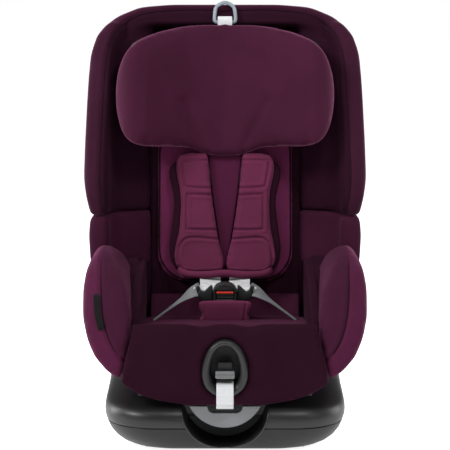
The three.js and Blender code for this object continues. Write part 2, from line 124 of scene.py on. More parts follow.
class Nodes:
    """A short way to write a material's node tree."""

    def __init__(self, name):
        self.material = bpy.data.materials.new(name)
        self.material.use_nodes = True
        self.tree = self.material.node_tree
        self.shader = self.tree.nodes["Principled BSDF"]

    def add(self, kind, **values):
        node = self.tree.nodes.new(kind)
        for key, value in values.items():
            setattr(node, key, value)
        return node

    def link(self, source, target):
        self.tree.links.new(source, target)

    def math(self, operation, a, b):
        node = self.add("ShaderNodeMath", operation=operation)
        for socket, value in zip(node.inputs, (a, b)):
            if isinstance(value, (int, float)):
                socket.default_value = value
            else:
                self.link(value, socket)
        return node.outputs[0]

    def noise(self, scale, detail):
        node = self.add("ShaderNodeTexNoise")
        node.inputs["Scale"].default_value = scale
        node.inputs["Detail"].default_value = detail
        node.inputs["Roughness"].default_value = 0.55
        self.link(self.object_place(), node.inputs["Vector"])
        return node.outputs["Fac"]

    def object_place(self):
        if not hasattr(self, "coords"):
            self.coords = self.add("ShaderNodeTexCoord").outputs["Object"]
        return self.coords

    def ramp(self, source, stops):
        node = self.add("ShaderNodeValToRGB")
        while len(node.color_ramp.elements) < len(stops):
            node.color_ramp.elements.new(0.5)
        for element, (position, colour) in zip(node.color_ramp.elements, stops):
            element.position = position
            element.color = (*colour, 1)
        self.link(source, node.inputs["Fac"])
        return node.outputs["Color"]

    def wave(self, scale, direction):
        node = self.add("ShaderNodeTexWave", wave_type="BANDS", bands_direction=direction)
        node.inputs["Scale"].default_value = scale
        node.inputs["Distortion"].default_value = 0.6
        node.inputs["Detail"].default_value = 1
        self.link(self.object_place(), node.inputs["Vector"])
        return node.outputs["Fac"]

    def bump(self, height, strength, distance):
        node = self.add("ShaderNodeBump")
        node.inputs["Strength"].default_value = strength
        node.inputs["Distance"].default_value = distance
        self.link(height, node.inputs["Height"])
        self.link(node.outputs["Normal"], self.shader.inputs["Normal"])


KNIT = 520  # scale of the fabrics' loops


def srgb(r, g, b):
    """A colour in linear light from its 0 to 255 values."""
    return tuple((c / 255 / 12.92) if c <= 10 else ((c / 255 + 0.055) / 1.055) ** 2.4 for c in (r, g, b))


def shade(colour, factor):
    return tuple(min(1, c * factor) for c in colour)


def fabric(name, colour, sheen, gloss=0.05):
    """A fine brushed knit: woven loops in three directions, soft nap, slow variation in tone."""
    n = Nodes(name)
    slow = n.noise(14, 4)
    fine = n.noise(420, 2)
    loops = n.math("MULTIPLY", n.wave(KNIT, "X"), n.math("ADD", n.wave(KNIT, "Z"), n.wave(KNIT, "Y")))
    tone = n.math("ADD", n.math("MULTIPLY", slow, 0.55), n.math("MULTIPLY", fine, 0.45))
    n.link(n.ramp(tone, [(0.3, shade(colour, 0.8)), (0.52, colour), (0.74, shade(colour, 1.22))]),
           n.shader.inputs["Base Color"])
    n.link(n.math("ADD", 0.72, n.math("MULTIPLY", fine, 0.22)), n.shader.inputs["Roughness"])
    n.shader.inputs["Specular IOR Level"].default_value = gloss
    n.shader.inputs["Sheen Weight"].default_value = sheen
    n.shader.inputs["Sheen Roughness"].default_value = 0.3
    n.shader.inputs["Sheen Tint"].default_value = (0.9, 0.32, 0.6, 1)
    n.bump(n.math("ADD", n.math("MULTIPLY", loops, 0.6), fine), 0.32, 0.0006)
    return n.material


def plastic(name, colour, roughness=0.42, grain=900, strength=0.25, gloss=0.3):
    """Moulded plastic with a fine spark-eroded grain and slightly paler, rubbed edges."""
    n = Nodes(name)
    slow = n.noise(9, 3)
    fine = n.noise(grain, 2)
    edges = n.math("GREATER_THAN", n.add("ShaderNodeNewGeometry").outputs["Pointiness"], 0.53)
    tone = n.math("ADD", n.math("MULTIPLY", slow, 0.8), n.math("MULTIPLY", edges, 0.1))
    n.link(n.ramp(tone, [(0.2, shade(colour, 0.85)), (0.45, colour), (0.8, shade(colour, 1.25))]),
           n.shader.inputs["Base Color"])
    n.link(n.math("ADD", roughness - 0.08, n.math("MULTIPLY", slow, 0.16)), n.shader.inputs["Roughness"])
    n.shader.inputs["Specular IOR Level"].default_value = gloss
    n.bump(fine, strength, 0.0003)
    return n.material


def webbing(name, colour):
    """Woven polyester webbing: ribs across and a twill along it."""
    n = Nodes(name)
    fine = n.noise(700, 2)
    ribs = n.math("ADD", n.wave(160, "Z"), n.math("MULTIPLY", n.wave(260, "X"), 0.7))
    n.link(n.ramp(n.math("ADD", n.math("MULTIPLY", ribs, 0.35), n.math("MULTIPLY", fine, 0.4)),
                  [(0.15, shade(colour, 0.72)), (0.5, colour), (0.9, shade(colour, 1.15))]),
           n.shader.inputs["Base Color"])
    n.shader.inputs["Roughness"].default_value = 0.6
    n.shader.inputs["Sheen Weight"].default_value = 0.15
    n.bump(ribs, 0.5, 0.0005)
    return n.material


def metal(name, colour):
    """Zinc-plated steel with drawn streaks."""
    n = Nodes(name)
    streaks = n.wave(60, "Y")
    fine = n.noise(300, 3)
    n.link(n.ramp(n.math("ADD", n.math("MULTIPLY", streaks, 0.3), n.math("MULTIPLY", fine, 0.6)),
                  [(0.2, shade(colour, 0.75)), (0.6, colour)]), n.shader.inputs["Base Color"])
    n.shader.inputs["Metallic"].default_value = 0.95
    n.link(n.math("ADD", 0.25, n.math("MULTIPLY", fine, 0.25)), n.shader.inputs["Roughness"])
    n.bump(fine, 0.1, 0.0002)
    return n.material


def make_materials():
    return {
        "plum": fabric("plum_knit", srgb(60, 19, 42), sheen=0.22),
        "wing": fabric("wing_knit", srgb(41, 13, 29), sheen=0.18),
        "rest": fabric("headrest_knit", srgb(48, 15, 33), sheen=0.34),
        # Painted light: the insert cloth is the plum made lighter, to make up for the wings' shadow on it.
        "insert": fabric("insert_knit", srgb(82, 29, 58), sheen=0.2),
        # The deep and dark cloths are darker copies of the plum; on the side covers, the bolsters' inner
        # halves, the apron and the back pad they are painted shade.
        "deep": fabric("deep_plum_knit", srgb(47, 15, 33), sheen=0.12),
        "dark": fabric("dark_plum_knit", srgb(31, 10, 21), sheen=0.08, gloss=0.02),
        "light": fabric("light_plum_knit", srgb(78, 30, 53), sheen=0.28),
        "piping": fabric("piping_knit", srgb(25, 8, 18), sheen=0.08),
        # Painted shade: a darker plum for the wings' inner faces and for the cloth that fills the gaps behind
        # the bolsters.
        "shade": fabric("painted_shade_knit", srgb(32, 11, 23), sheen=0.05, gloss=0.02),
        "black": plastic("black_plastic", srgb(20, 20, 21), roughness=0.4),
        "foot": plastic("foot_plastic", srgb(25, 25, 26), roughness=0.45, gloss=0.2),
        "inner": plastic("inner_plastic", srgb(11, 11, 12), roughness=0.5),
        "bezel": plastic("bezel_plastic", srgb(22, 22, 23), roughness=0.42),
        "grey": plastic("grey_plastic", srgb(90, 91, 93), roughness=0.42),
        "ring": plastic("ring_plastic", srgb(104, 112, 120), roughness=0.35),
        "red": plastic("red_plastic", srgb(176, 44, 30), roughness=0.3, strength=0.1),
        "webbing": webbing("grey_webbing", srgb(172, 173, 175)),
        "webbing_dark": webbing("dark_webbing", srgb(84, 86, 88)),
        "steel": metal("plated_steel", srgb(176, 178, 182)),
        "rubber": plastic("foot_rubber", srgb(26, 26, 26), roughness=0.8, grain=300),
        "label": fabric("woven_label", srgb(18, 18, 19), sheen=0.05),
    }


# ---------------------------------------------------------------- mesh tools

def at(x, y, z):
    """A point of the design in mm, as metres in the frame."""
    return (x * MM, (y + SHIFT_Y) * MM, z * MM)


def back_at(x, s, z):
    """A point given by its depth s from the backrest's foot, measured on the lean."""
    return at(x, s + LEAN * (z - BIGHT_Z), z)


def mesh_object(name, points, faces):
    mesh = bpy.data.meshes.new(name)
    mesh.from_pydata([tuple(p) for p in points], [], [tuple(int(i) for i in f) for f in faces])
    mesh.validate()
    made = bpy.data.objects.new(name, mesh)
    bpy.context.scene.collection.objects.link(made)
    for face in mesh.polygons:
        face.use_smooth = True
    return made


def outward(obj):
    work = bmesh.new()
    work.from_mesh(obj.data)
    bmesh.ops.recalc_face_normals(work, faces=work.faces)
    work.to_mesh(obj.data)
    work.free()
    return obj


def apply_modifiers(obj):
    graph = bpy.context.evaluated_depsgraph_get()
    graph.update()
    mesh = bpy.data.meshes.new_from_object(obj.evaluated_get(graph))
    old = obj.data
    obj.modifiers.clear()
    obj.data = mesh
    bpy.data.meshes.remove(old)
    for face in mesh.polygons:
        face.use_smooth = True
    return obj


def loft(name, rings, closed=False):
    """A skin over rings of equally many points; the ends are capped unless the rings close on themselves."""
    rings = np.asarray(rings, float)
    count, around = rings.shape[:2]
    faces = []
    for i in range(count if closed else count - 1):
        for j in range(around):
            a, b = i * around + j, i * around + (j + 1) % around
            c, d = ((i + 1) % count) * around + (j + 1) % around, ((i + 1) % count) * around + j
            faces.append((a, b, c, d))
    if not closed:
        faces.append(tuple(range(around))[::-1])
        faces.append(tuple((count - 1) * around + j for j in range(around)))
    return outward(mesh_object(name, rings.reshape(-1, 3), faces))


def smooth_line(points, steps=8, closed=False):
    """A Catmull-Rom line through the points."""
    p = np.asarray(points, float)
    count = len(p)
    out = []
    for i in range(count if closed else count - 1):
        if closed:
            a, b, c, d = p[(i - 1) % count], p[i], p[(i + 1) % count], p[(i + 2) % count]
        else:
            a, b, c, d = p[max(i - 1, 0)], p[i], p[i + 1], p[min(i + 2, count - 1)]
        for t in np.arange(steps) / steps:
            lower = 2 * b + (c - a) * t + (2 * a - 5 * b + 4 * c - d) * t**2
            out.append(0.5 * (lower + (3 * b - a - 3 * c + d) * t**3))
    if not closed:
        out.append(p[-1])
    return np.array(out)


def even_line(points, spacing):
    p = np.asarray(points, float)
    run = np.concatenate([[0], np.cumsum(np.linalg.norm(np.diff(p, axis=0), axis=1))])
    where = np.linspace(0, run[-1], max(3, int(run[-1] / spacing)))
    return np.stack([np.interp(where, run, p[:, k]) for k in range(p.shape[1])], axis=1)


def sweep(name, path, section, side=None, closed=False):
    """A section of (across, out) points carried along a path; side is across's direction, if it is fixed."""
    path = np.asarray(path, float)
    section = np.asarray(section, float)
    if closed:
        along = np.roll(path, -1, 0) - np.roll(path, 1, 0)
    else:
        along = np.gradient(path, axis=0)
    along /= np.linalg.norm(along, axis=1)[:, None]
    rings = []
    across = None
    for p, t in zip(path, along):
        if side is not None:
            across = np.asarray(side, float)
        elif across is None:
            across = np.cross(t, (0.03, -0.99, 0.1))
        across = across - t * np.dot(across, t)
        across = across / np.linalg.norm(across)
        out = np.cross(across, t)
        rings.append([p + across * u + out * v for u, v in section])
    return loft(name, rings, closed)


def circle_section(radius, sides=8):
    return [(radius * math.cos(a), radius * math.sin(a)) for a in np.arange(sides) * 2 * math.pi / sides]


def strap_section(width, thick):
    """The section of a strap: flat, with rounded selvedges."""
    half, edge = width / 2, thick / 2
    right = arc(edge, (half - edge, 0), -90, 90, 5)
    middle = [(u, edge) for u in np.linspace(half * 0.7, -half * 0.7, 5)]
    left = [(-u, -v) for u, v in right]
    return right + middle + left + [(-u, -v) for u, v in middle]


def flipped(side, outline):
    """An outline for the right side, taken to the side of that sign."""
    return [(side * x, z) for x, z in outline]


def arc(radius, centre, begin, end, count):
    """Points of an arc, its angles in degrees."""
    return [(centre[0] + radius * math.cos(a), centre[1] + radius * math.sin(a))
            for a in np.radians(np.linspace(begin, end, count))]


PLANES = {
    "x": lambda u, v, w: at(w, u, v),
    "y": lambda u, v, w: at(u, w, v),
    "z": lambda u, v, w: at(u, v, w),
    "back": lambda u, v, w: back_at(u, w, v),
}


def prism(name, outline, plane, low, high, bevel=1.0, cutters=(), segments=3):
    """An outline in mm carried from low to high across a plane, cut by other prisms, its edges rounded."""
    outline = [tuple(p) for p in outline]
    count = len(outline)
    points = [PLANES[plane](u, v, w) for w in (low, high) for u, v in outline]
    faces = [tuple(range(count))[::-1], tuple(range(count, 2 * count))]
    faces += [(i, (i + 1) % count, (i + 1) % count + count, i + count) for i in range(count)]
    made = outward(mesh_object(name, points, faces))
    return round_edges(carve(made, cutters), bevel, segments)


def carve(obj, cutters):
    for cutter in cutters:
        tool = obj.modifiers.new("cut", "BOOLEAN")
        tool.operation = "DIFFERENCE"
        tool.solver = "EXACT"
        tool.object = cutter
        apply_modifiers(obj)
        bpy.data.objects.remove(cutter)
    return obj


def round_edges(obj, width, segments=3):
    if width:
        tool = obj.modifiers.new("round", "BEVEL")
        tool.width = width * MM
        tool.segments = segments
        tool.limit_method = "ANGLE"
        tool.angle_limit = math.radians(28)
        tool.harden_normals = False
        apply_modifiers(obj)
    for face in obj.data.polygons:
        face.use_smooth = True
    obj.data.set_sharp_from_angle(angle=math.radians(40))
    return obj


def merged(name, parts):
    """One object out of several, whose shells stay separate."""
    work = bmesh.new()
    for part in parts:
        work.from_mesh(part.data)
        bpy.data.objects.remove(part)
    mesh = bpy.data.meshes.new(name)
    work.to_mesh(mesh)
    work.free()
    made = bpy.data.objects.new(name, mesh)
    bpy.context.scene.collection.objects.link(made)
    for face in mesh.polygons:
        face.use_smooth = True
    return made


def done(obj, material, body, stands_for=(), bend=None):
    """Gives a piece its material, its body and the CAD nodes that it stands for.

    With bend set, its place is baked into its mesh instead and it joins no body; the other body, start and
    end in bend are not used.
    """
    obj.data.materials.clear()
    obj.data.materials.append(LOOKS[material])
    if bend:
        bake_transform(obj)
    else:
        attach(obj, body)
    if stands_for:
        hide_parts(*([stands_for] if isinstance(stands_for, str) else stands_for))
    return obj


# ---------------------------------------------------------------- soft goods

def coordinates(mesh):
    flat = np.empty(len(mesh.vertices) * 3)
    mesh.vertices.foreach_get("co", flat)
    return flat.reshape(-1, 3)


def set_coordinates(mesh, points):
    mesh.vertices.foreach_set("co", points.ravel())
    mesh.update()


def normals_of(mesh):
    flat = np.empty(len(mesh.vertices) * 3)
    mesh.vertices.foreach_get("normal", flat)
    return flat.reshape(-1, 3)


def remesh(obj, voxel):
    tool = obj.modifiers.new("remesh", "REMESH")
    tool.mode = "VOXEL"
    tool.voxel_size = voxel
    return apply_modifiers(obj)


def relax(obj, rounds):
    tool = obj.modifiers.new("relax", "SMOOTH")
    tool.factor = 0.5
    tool.iterations = rounds
    return apply_modifiers(obj)


def subdivide(obj):
    tool = obj.modifiers.new("fine", "SUBSURF")
    tool.levels = 1
    return apply_modifiers(obj)


CLOTH_PRESSURE = 4.0
CLOTH_FRAMES = 20


def inflate(obj, cap):
    """Cloth with air inside it; no point moves further than cap, in mm."""
    start = coordinates(obj.data)
    scene = bpy.context.scene
    tool = obj.modifiers.new("cloth", "CLOTH")
    tool.settings.use_pressure = True
    tool.settings.uniform_pressure_force = CLOTH_PRESSURE
    tool.settings.effector_weights.gravity = 0
    tool.settings.quality = 5
    tool.point_cache.frame_start = 1
    tool.point_cache.frame_end = CLOTH_FRAMES
    for number in range(1, CLOTH_FRAMES + 1):
        scene.frame_set(number)
    apply_modifiers(obj)
    scene.frame_set(1)
    moved = coordinates(obj.data) - start
    reach = np.linalg.norm(moved, axis=1)
    limit = cap * MM
    scale = np.where(reach > 1e-9, limit * np.tanh(reach / limit) / np.maximum(reach, 1e-9), 1)
    set_coordinates(obj.data, start + moved * scale[:, None])
    return obj


def soft_copy(name, node, voxel, rounds, cap=0, grow=0):
    """A padded piece from a CAD solid: remeshed, relaxed, grown and finer; with a cap, blown up as cloth."""
    made = bpy.data.objects.new(name, NODES[node].data.copy())
    bpy.context.scene.collection.objects.link(made)
    remesh(made, voxel * MM)
    relax(made, rounds)
    if grow:
        set_coordinates(made.data, coordinates(made.data) + normals_of(made.data) * grow * MM)
    if cap:
        inflate(made, cap)
        relax(made, 3)
    subdivide(made)
    return made


def paint_shade_inside(obj, area, material):
    """Paints the faces inside an outline of the front view with a second, darker cloth: painted shade."""
    obj.data.materials.append(LOOKS[material])
    points = np.array([tuple(f.center) for f in obj.data.polygons])
    u, v = front_view(points).T
    area = np.asarray(area, float)
    inside = np.zeros(len(points), bool)
    for (x0, z0), (x1, z1) in zip(area, np.roll(area, -1, 0)):
        crossed = (z0 > v) != (z1 > v)
        inside ^= crossed & (u < (x1 - x0) * (v - z0) / (z1 - z0 if z1 != z0 else 1e-9) + x0)
    for face, flag in zip(obj.data.polygons, inside):
        if flag:
            face.material_index = 1


def distance_to_line(points, line):
    """Distance of 2-D points to a polyline."""
    line = np.asarray(line, float)
    best = np.full(len(points), 1e9)
    for a, b in zip(line[:-1], line[1:]):
        run = b - a
        t = np.clip(((points - a) @ run) / max(run @ run, 1e-12), 0, 1)
        best = np.minimum(best, np.linalg.norm(points - (a + t[:, None] * run), axis=1))
    return best


def front_view(points):
    """(x, z) of frame points, in mm."""
    return points[:, [0, 2]] / MM


def groove(obj, line, width, depth, shoulder=0.35):
    """Sinks a sewn line of the front view into a soft piece, and puffs the cloth beside it a little."""
    points = coordinates(obj.data)
    normals = normals_of(obj.data)
    near = distance_to_line(front_view(points), line)
    faces = np.clip(normals[:, 1] * -2.5, 0, 1)
    sink = np.exp(-((near / width) ** 2))
    puff = np.exp(-(((near - 2.6 * width) / (1.6 * width)) ** 2)) * shoulder
    set_coordinates(obj.data, points + normals * ((puff - sink) * faces * depth * MM)[:, None])
    return obj


def on_surface(obj, line, lift=0.0):
    """Drops a line of the front view, in mm, on to an object, as 3-D points in metres."""
    mesh = obj.data
    tree = BVHTree.FromPolygons([v.co for v in mesh.vertices], [tuple(p.vertices) for p in mesh.polygons])
    out = []
    for u, v in line:
        hit, normal, _, _ = tree.ray_cast(Vector((u * MM, -1.5, v * MM)), Vector((0, 1, 0)))
        if hit is not None:
            out.append(hit + normal * lift * MM)
    return np.array(out)


def piping(name, obj, line, radius, lift):
    """A round welt that lies on a soft piece of the seat along a line of the front view."""
    path = on_surface(obj, line, lift)
    for _ in range(4):
        path[1:-1] = (path[:-2] + 2 * path[1:-1] + path[2:]) / 4
    done(sweep(name, path, circle_section(radius * MM)), "piping", "seat")


# ---------------------------------------------------------------- base

def rounded_ring(z, half, front, rear, front_radius, rear_radius):
    """A rounded rectangle at a height, with elliptic front corners."""
    corners = (
        (half - front_radius, front + front_radius, front_radius, -90),
        (half - rear_radius, rear - rear_radius, rear_radius, 0),
        (-half + rear_radius, rear - rear_radius, rear_radius, 90),
        (-half + front_radius, front + front_radius, front_radius, 180),
    )
    ring = []
    for x, y, radius, begin in corners:
        for angle in np.radians(np.linspace(begin, begin + 90, 14)):
            ring.append(at(x + radius * math.cos(angle), y + radius * math.sin(angle), z))
    return ring


RECESS_Z, RECESS_RADIUS = 70, 63  # the round recess in the base's front
ISOFIX_X = 140

# Height, half width, front, rear, and the radii of the front and rear corners of the base, in mm.
LOWER_LEVELS = (
    (2.4, 128, -201, 232, 58, 34), (2.4, 134, -207, 236, 62, 38), (5, 146, -214, 241, 66, 42),
    (10, 156, -221, 245, 70, 44), (18, 165, -228, 248, 73, 45), (28, 172, -233, 250, 75, 46),
    (38, 176.4, -235.6, 250.4, 76, 46), (38.9, 175.8, -235, 250, 76, 46),
)
UPPER_LEVELS = (
    (39.5, 176.2, -235.2, 250, 76, 46), (40.4, 177, -236, 250.4, 76, 46), (48, 179.4, -236.6, 250.4, 77, 46),
    (56, 180, -235.6, 250.4, 77, 46), (62, 179.8, -231.5, 250.2, 77, 46), (67, 179, -224, 250, 76, 46),
    (70.5, 178.4, -213, 250, 76, 46), (74, 178, -198, 250, 76, 46), (80, 177, -178, 249, 75, 46),
    (90, 176, -150, 248, 72, 46), (104, 174.5, -122, 246, 68, 45), (122, 172, -96, 241, 62, 45),
    (140, 170, -72, 230, 58, 44), (152, 168, -60, 214, 56, 40),
)


def rocker_cutter(radius, low, high):
    return prism("cutter", arc(radius, (ROCK_Y, ROCK_Z), 0, 358, 180), "x", low, high, bevel=0)


def recess_outline(radius, top=160):
    return arc(radius, (0, RECESS_Z), 180, 360, 40) + [(radius, top), (-radius, top)]


def build_base():
    lower = loft("base_lower", [rounded_ring(*level) for level in LOWER_LEVELS])
    carve(lower, [prism("cutter", recess_outline(RECESS_RADIUS), "y", -260, -150, bevel=0)])
    round_edges(lower, 1.0)
    done(lower, "foot", "base", "base_lower_shell")
    upper = loft("base_upper", [rounded_ring(*level) for level in UPPER_LEVELS])
    cutters = [
        rocker_cutter(316, -200, 200), rocker_cutter(329, -132, 132),
        prism("cutter", recess_outline(RECESS_RADIUS), "y", -260, -150, bevel=0),
    ]
    for _, side in SIDES:
        x = side * ISOFIX_X
        sleeve = [(x - 15.5, 46.5), (x + 15.5, 46.5), (x + 15.5, 77.5), (x - 15.5, 77.5)]
        cutters.append(prism("cutter", sleeve, "y", 200, 260, bevel=0))
    carve(upper, cutters)
    round_edges(upper, 1.6)
    done(upper, "black", "base", ("base_upper_shell", "cradle_deck"))

    # Painted shade, in part: the liner takes the darkest plastic, its own black deepened for the shade inside
    # the recess.
    inner = prism("cutter", recess_outline(59.4, 90), "y", -240, -153, bevel=0)
    liner = prism("recess_liner_fine", recess_outline(62.4, 68), "y", -229, -150.6, bevel=0)
    carve(liner, [inner])
    round_edges(liner, 0.9)
    done(liner, "inner", "base", "recess_liner")
    # A round welt follows the recess's rim on the shells' front.
    welts = []
    for _, side in SIDES:
        rim = []
        for spot in flipped(side, arc(RECESS_RADIUS + 1, (0, RECESS_Z), -4, -84, 26)):
            hits = [tuple(p) for shell in (lower, upper) for p in on_surface(shell, [spot])]
            rim += sorted(hits, key=lambda p: p[1])[:1]
        welts.append(sweep("welt", rim, circle_section(1.5 * MM)))
    done(merged("recess_rim", welts), "black", "base")

    for name in ("recline_rail_left", "recline_rail_right", "recline_rack"):
        keep(name, "steel")
    for name in ("isofix_sleeve_left", "isofix_sleeve_right"):
        keep(name, "inner")
    keep("foot_strip", "rubber")


def keep(node, material):
    """A CAD node whose shape is right only takes a better material."""
    obj = NODES[node]
    obj.data.materials.clear()
    obj.data.materials.append(LOOKS[material])
    for face in obj.data.polygons:
        face.material_index = 0


def build_isofix():
    keep("isofix_crossbar", "steel")
    for name, side in SIDES:
        x = side * ISOFIX_X
        keep(f"isofix_arm_{name}", "steel")
        keep(f"isofix_jaw_{name}", "steel")
        outline = [(252.4, 46), (256, 42), (294, 42), (303, 49), (303, 55), (298, 56), (281, 56), (280, 57),
                   (280, 67), (281, 68), (298, 68), (303, 69), (303, 75), (295, 82), (256, 82), (252.4, 78)]
        slot = prism("cutter", [(258, 48), (308, 48), (308, 90), (258, 90)], "x", x - 6, x + 6, bevel=0)
        low, high = sorted((x + side * 14, x + side * 20))
        pocket = prism("cutter", [(257, 54), (278, 54), (278, 70), (257, 70)], "x", low, high, bevel=0)
        housing = prism(f"isofix_connector_{name}", outline, "x", x - 18, x + 18, bevel=1.6,
                        cutters=[slot, pocket])
        done(housing, "inner", "isofix", f"isofix_housing_{name}")
        low, high = sorted((x + side * 14.5, x + side * 19.5))
        button = prism(f"isofix_release_{name}", [(262, 55.5), (277, 55.5), (277, 68.5), (262, 68.5)], "x",
                       low, high, bevel=1.4)
        ribs = [prism("rib", [(y, 58), (y + 1.6, 58), (y + 1.6, 66), (y, 66)], "x",
                      *sorted((x + side * 19, x + side * 20.2)), bevel=0.5) for y in (265, 268.5, 272)]
        done(merged(f"isofix_release_{name}_part", [button, *ribs]), "red", f"release_{name}",
             f"isofix_button_{name}")


# ---------------------------------------------------------------- shell, rails and handle

def build_shell():
    keep("seat_pan", "inner")
    for name, side in SIDES:
        keep(f"slider_shoe_{name}", "grey")
        lining = smooth_line([(-186, 176), (-120, 150), (-40, 146), (40, 150), (80, 160), (94, 196),
                              (100, 240), (30, 244), (-60, 238), (-140, 216)], 4, closed=True)
        skirt = flipped(side, [(117, 150), (190, 172), (204, 200), (206, 262), (117, 262)])
        shelf = smooth_line([(-200, 152), (-130, 148), (-60, 150), (40, 152), (84, 176), (94, 240), (60, 252),
                             (20, 244), (-50, 238), (-120, 214), (-192, 176)], 4, closed=True)
        # Painted shade: the lining, skirt and shelf take the painted-shade cloth, as dark cloth filling gaps
        # behind the bolsters where only shade shows.
        for piece in (
            prism(f"flank_lining_{name}", lining, "x", *sorted((side * 128, side * 141)), bevel=3),
            prism(f"side_skirt_{name}", skirt, "back", 60, 76, bevel=3),
            prism(f"flank_shelf_{name}", shelf, "x", *sorted((side * 139, side * 197)), bevel=3),
        ):
            done(piece, "shade", "seat")
        flank = smooth_line([(-150, 158), (-112, 128), (-66, 113), (-20, 109.5), (30, 117), (66, 131),
                             (88, 150), (102, 190), (108, 232), (20, 234), (-60, 232), (-130, 205)], 5,
                            closed=True)
        panel = prism(f"flank_panel_{name}", flank, "x", *sorted((side * 134, side * 142)), bevel=2)
        done(panel, "black", "seat", f"side_shell_{name}")
    half = smooth_line([(118, 143), (150, 176), (176, 232), (196, 330), (206, 400), (206, 520), (200, 588),
                        (178, 621), (132, 639), (60, 643), (0, 644)], 5)
    outline = [tuple(p) for p in half] + [(-x, z) for x, z in half[::-1][1:]]
    plate = prism("back_plate", outline, "back", 96.3, 100.5, bevel=1.4)
    ribs = [prism("rib", [(x, 240), (x + 7, 240), (x + 7, 590), (x, 590)], "back", 99, 109, bevel=1.6)
            for x in (-150, -80, 73, 143)]
    ribs += [prism("rib", [(-150, z), (150, z), (150, z + 6), (-150, z + 6)], "back", 99, 107, bevel=1.6)
             for z in (260, 400, 540)]
    rim = np.array([back_at(x * 0.985, 102, 392 + (z - 392) * 0.985) for x, z in outline])
    ribs.append(sweep("rim", rim, circle_section(3.2 * MM), closed=True))
    done(merged("back_shell_fine", [plate, *ribs]), "black", "seat", "back_shell")
    slot = prism("cutter", [(-18, 490), (18, 490), (18, 495), (-18, 495)], "back", 90, 120, bevel=0)
    bracket = prism("tether_plate", [(-30, 470), (30, 470), (30, 500), (-30, 500)], "back", 101, 108,
                    bevel=1.2, cutters=[slot])
    done(bracket, "steel", "seat", "tether_bracket")


def build_handle():
    outer = arc(58.5, (0, 96.5), 207.3, 332.7, 32)
    right = arc(10, (16, 69.4), 0, -90, 8)
    left = flipped(-1, right[::-1])
    grip = prism("grip", [*outer, (26, 69.5), *right, *left, (-26, 69.5)], "y", -223, -211, bevel=3.2,
                 segments=5)
    arms = [prism("arm", [(x, 61), (x + 22, 61), (x + 22, 69), (x, 69)], "y", -214, -162, bevel=1.5)
            for x in (-50, 28)]
    bar = prism("bar", [(-50, 61), (50, 61), (50, 69), (-50, 69)], "y", -172, -162, bevel=1.5)
    link = prism("link", [(-170, 62), (-163, 62), (-163, 106), (-155, 121), (-148, 126), (-150, 131),
                          (-160, 127), (-170, 110)], "x", -9, 9, bevel=0.8)
    rock = (ROCK_Y, ROCK_Z)
    band = arc(313, rock, -111.5, -99, 8) + arc(309, rock, -99, -111.5, 8)
    rod = prism("rod", band, "x", -9, 9, bevel=0.6)
    handle = merged("recline_grip", [grip, *arms, bar, link, rod])
    done(handle, "grey", "handle", "recline_handle")
    keep("recline_catch", "steel")


# ---------------------------------------------------------------- covers

ARCH_FRONT = 40.8  # depth of the wing cover's top arch
WIDE, DRAWN_IN = 192, 0.87  # beyond this half width the thigh bolsters are drawn in by this factor


def build_wings():
    wings = soft_copy("wing_cover_cloth", "wing_cover", voxel=5.5, rounds=16, grow=1.2)
    points = coordinates(wings.data)
    x, y, z = points.T / MM
    depth = y - SHIFT_Y - LEAN * (z - BIGHT_Z)
    # The arch's front stays behind the headrest release strap.
    arch = (np.abs(x) < 165) & (z > 600) & (depth < ARCH_FRONT)
    points[arch, 1] += (ARCH_FRONT - depth[arch]) * MM
    set_coordinates(wings.data, points)
    seam = smooth_line([(-x, z) for x, z in (
        (194, 326), (197, 350), (200, 378), (199, 440), (197, 502), (194, 560), (187, 596), (172, 622),
        (148, 638), (120, 645), (60, 649))] + [(0, 647)], 6)
    seam = np.vstack([seam, [(-x, z) for x, z in seam[::-1][1:]]])
    groove(wings, seam, 2.4, 2.2)
    done(wings, "wing", "seat", "wing_cover")
    # Painted shade: the wings' inner faces, inside the seam, take the darker shade cloth.
    paint_shade_inside(wings, [*seam, (seam[-1][0], 300), (seam[0][0], 300)], "shade")
    piping("wing_piping", wings, even_line(seam, 6), radius=1.2, lift=0.2)
    for name, _ in SIDES:
        lower = soft_copy(f"side_cover_cloth_{name}", f"side_cover_{name}", voxel=5, rounds=8, grow=1.0)
        # Painted shade: the side covers take the deeper cloth because they are lit less.
        done(lower, "deep", "seat", f"side_cover_{name}")


def build_backrest():
    section = smooth_line([(24, 152), (50, 146), (68, 156), (70, 182), (56, 190), (40, 172)], 5, closed=True)
    roll = prism("back_foot_roll", section, "x", -120, 120, bevel=4)
    done(roll, "deep", "seat")
    pad = soft_copy("back_pad_cloth", "back_pad", voxel=5, rounds=6, grow=0.5)
    for x in (-104, 104):
        groove(pad, [(x, 160), (x, 445)], 2.2, 2.0)
    # Painted shade: the back pad between the wings takes the dark cloth.
    done(pad, "dark", "seat", "back_pad")
    insert = soft_copy("back_insert_cloth", "back_insert", voxel=4, rounds=7, cap=1, grow=1.2)
    # Painted light: the insert takes the lighter insert cloth against the wings' shadow.
    done(insert, "insert", "seat", "back_insert")
    edge = rounded_outline(-107, 213, 107, 436, 48, 12)
    piping("insert_piping", insert, even_line([*edge, edge[0]], 5)[:-1], radius=2.2, lift=-1.0)


def rounded_outline(u0, v0, u1, v1, low, high):
    out = []
    for u, v, r, begin in ((u0 + high, v1 - high, high, 90), (u0 + low, v0 + low, low, 180),
                           (u1 - low, v0 + low, low, 270), (u1 - high, v1 - high, high, 0)):
        for a in np.radians(np.linspace(begin, begin + 90, 8)):
            out.append((u + r * math.cos(a), v + r * math.sin(a)))
    return out


